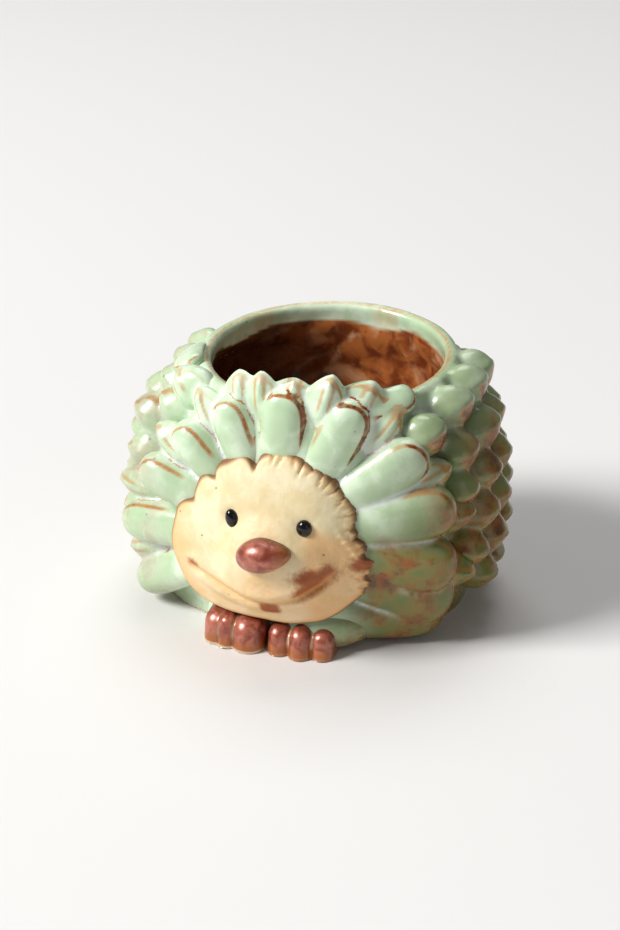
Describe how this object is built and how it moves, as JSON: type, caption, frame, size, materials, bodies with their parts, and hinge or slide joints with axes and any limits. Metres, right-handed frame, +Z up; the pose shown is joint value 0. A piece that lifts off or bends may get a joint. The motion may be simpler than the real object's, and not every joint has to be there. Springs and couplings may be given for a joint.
{
  "type": "animal shaped planter",
  "caption": "Small glazed ceramic plant pot shaped as a hedgehog: round open mouth, rows of quills, bare clay face, nose, eyes and toes.",
  "frame": {"origin": "centre of the drain hole on the ground plane, under the middle of the belly", "axes": "+Z up out of the mouth, the face looks towards -Y, +X is to the right seen from in front of the face"},
  "size_m": [0.1134, 0.1041, 0.0754],
  "materials": {
    "celadon_glaze": "gloss",
    "bare_face": "satin",
    "brown_glaze": "satin",
    "black_glaze": "gloss"
  },
  "bodies": {
    "root": {"pot_shell": "celadon_glaze", "mane_petals": "celadon_glaze", "mane_tips": "celadon_glaze", "quill_row_1": "celadon_glaze", "quill_row_2": "celadon_glaze", "quill_row_3": "celadon_glaze", "quill_row_4": "celadon_glaze", "quill_row_5": "celadon_glaze", "quill_row_6": "celadon_glaze", "quill_row_7": "celadon_glaze", "quill_row_8": "celadon_glaze", "face_mask": "bare_face", "foreleg_left": "celadon_glaze", "foreleg_right": "celadon_glaze", "nose": "brown_glaze", "toes_left": "brown_glaze", "toes_right": "brown_glaze", "eye_left": "black_glaze", "eye_right": "black_glaze"}
  },
  "joints": []
}
